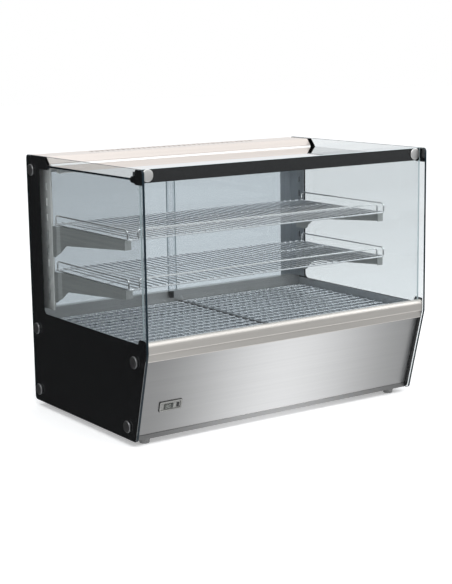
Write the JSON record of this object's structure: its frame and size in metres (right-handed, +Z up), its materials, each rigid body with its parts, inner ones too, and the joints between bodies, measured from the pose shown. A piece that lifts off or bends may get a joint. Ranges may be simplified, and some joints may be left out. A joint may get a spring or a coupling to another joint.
{
  "type": "hot food display case",
  "caption": "Countertop heated display case: glass sides, front and top, sliding glass rear doors, wire shelves on brackets, wire deck, stainless base with thermometer.",
  "frame": {"origin": "middle of the footprint, at the level of the surface under the feet", "axes": "+X across the front to the right as seen from the front, +Y to the rear doors, +Z up"},
  "size_m": [0.876, 0.58, 0.671],
  "materials": {
    "clear_glass": "clear tempered glass with a green edge and black enamel borders",
    "stainless": "brushed stainless steel",
    "bumper_steel": "satin stainless steel",
    "bracket_steel": "satin grey steel",
    "zinc_steel": "zinc-plated",
    "chrome_wire": "bright chrome-plated wire",
    "aluminium_trim": "satin anodised",
    "cap_metal": "satin spun face",
    "black_plastic": "fine-textured black",
    "grey_plastic": "matte grey",
    "white_nylon": "natural nylon",
    "lamp_white": "opal diffuser",
    "display_window": "dark display window",
    "rocker_green": "glossy green",
    "rocker_red": "glossy red",
    "heater_sheath": "heat-darkened steel",
    "foot_rubber": "moulded dark grey rubber"
  },
  "bodies": {
    "case": {"base_pan": "stainless", "base_side_left": "zinc_steel", "base_side_right": "zinc_steel", "bracket_lower_left": "bracket_steel", "bracket_lower_right": "bracket_steel", "bracket_upper_left": "bracket_steel", "bracket_upper_right": "bracket_steel", "bumper": "bumper_steel", "cable_gland": "black_plastic", "canopy_cover": "stainless", "canopy_floor": "stainless", "corner_bracket_left": "aluminium_trim", "corner_bracket_right": "aluminium_trim", "deck_tray": "stainless", "door_stop_block": "black_plastic", "door_track_top": "aluminium_trim", "foot_front_left": "foot_rubber", "foot_front_right": "foot_rubber", "foot_rear_left": "foot_rubber", "foot_rear_right": "foot_rubber", "front_caps": "cap_metal", "front_glass": "clear_glass", "front_glass_channel": "aluminium_trim", "front_panel": "stainless", "heating_element": "heater_sheath", "lamp_channel": "aluminium_trim", "lamp_diffuser": "lamp_white", "rear_panel": "stainless", "rear_panel_screws": "cap_metal", "rear_sill": "stainless", "side_caps_left": "cap_metal", "side_caps_right": "cap_metal", "side_glass_left": "clear_glass", "side_glass_right": "clear_glass", "switch_body_heat": "black_plastic", "switch_body_light": "black_plastic", "terminal_block": "white_nylon", "thermometer_body": "black_plastic", "thermometer_probe": "cap_metal", "thermometer_window": "display_window", "thermostat_body": "grey_plastic", "top_glass": "clear_glass", "upright_left": "stainless", "upright_right": "stainless"},
    "door_left": {"door_glass_left": "clear_glass", "door_pull_left": "aluminium_trim", "door_glides_left": "white_nylon"},
    "door_right": {"door_glass_right": "clear_glass", "door_pull_right": "aluminium_trim", "door_glides_right": "white_nylon"},
    "thermostat_dial": {"thermostat_knob": "black_plastic"},
    "light_rocker": {"rocker_light": "rocker_green"},
    "heat_rocker": {"rocker_heat": "rocker_red"},
    "upper_shelf": {"upper_shelf_grid": "chrome_wire", "upper_shelf_guard": "chrome_wire"},
    "lower_shelf": {"lower_shelf_grid": "chrome_wire", "lower_shelf_guard": "chrome_wire"},
    "left_deck_grid": {"deck_grid_left": "chrome_wire"},
    "right_deck_grid": {"deck_grid_right": "chrome_wire"}
  },
  "joints": [
    {"name": "door_left_slide", "type": "slide", "parent": "case", "child": "door_left", "axis": [1, 0, 0], "range_m": [0, 0.4]},
    {"name": "door_right_slide", "type": "slide", "parent": "case", "child": "door_right", "axis": [-1, 0, 0], "range_m": [0, 0.4]},
    {"name": "thermostat_turn", "type": "hinge", "parent": "case", "child": "thermostat_dial", "pos_m": [0.25, 0.27, 0.13], "axis": [0, -1, 0], "range_deg": [0, 270]},
    {"name": "light_switch_rock", "type": "hinge", "parent": "case", "child": "light_rocker", "pos_m": [0.31, 0.2657, 0.13], "axis": [1, 0, 0], "range_deg": [0, 16]},
    {"name": "heat_switch_rock", "type": "hinge", "parent": "case", "child": "heat_rocker", "pos_m": [0.352, 0.2657, 0.13], "axis": [1, 0, 0], "range_deg": [0, 16]},
    {"name": "upper_shelf_lift", "type": "slide", "parent": "case", "child": "upper_shelf", "axis": [0, 0, 1], "range_m": [0, 0.06]},
    {"name": "lower_shelf_lift", "type": "slide", "parent": "case", "child": "lower_shelf", "axis": [0, 0, 1], "range_m": [0, 0.04]},
    {"name": "left_grid_lift", "type": "slide", "parent": "case", "child": "left_deck_grid", "axis": [0, 0, 1], "range_m": [0, 0.022]},
    {"name": "right_grid_lift", "type": "slide", "parent": "case", "child": "right_deck_grid", "axis": [0, 0, 1], "range_m": [0, 0.022]}
  ]
}
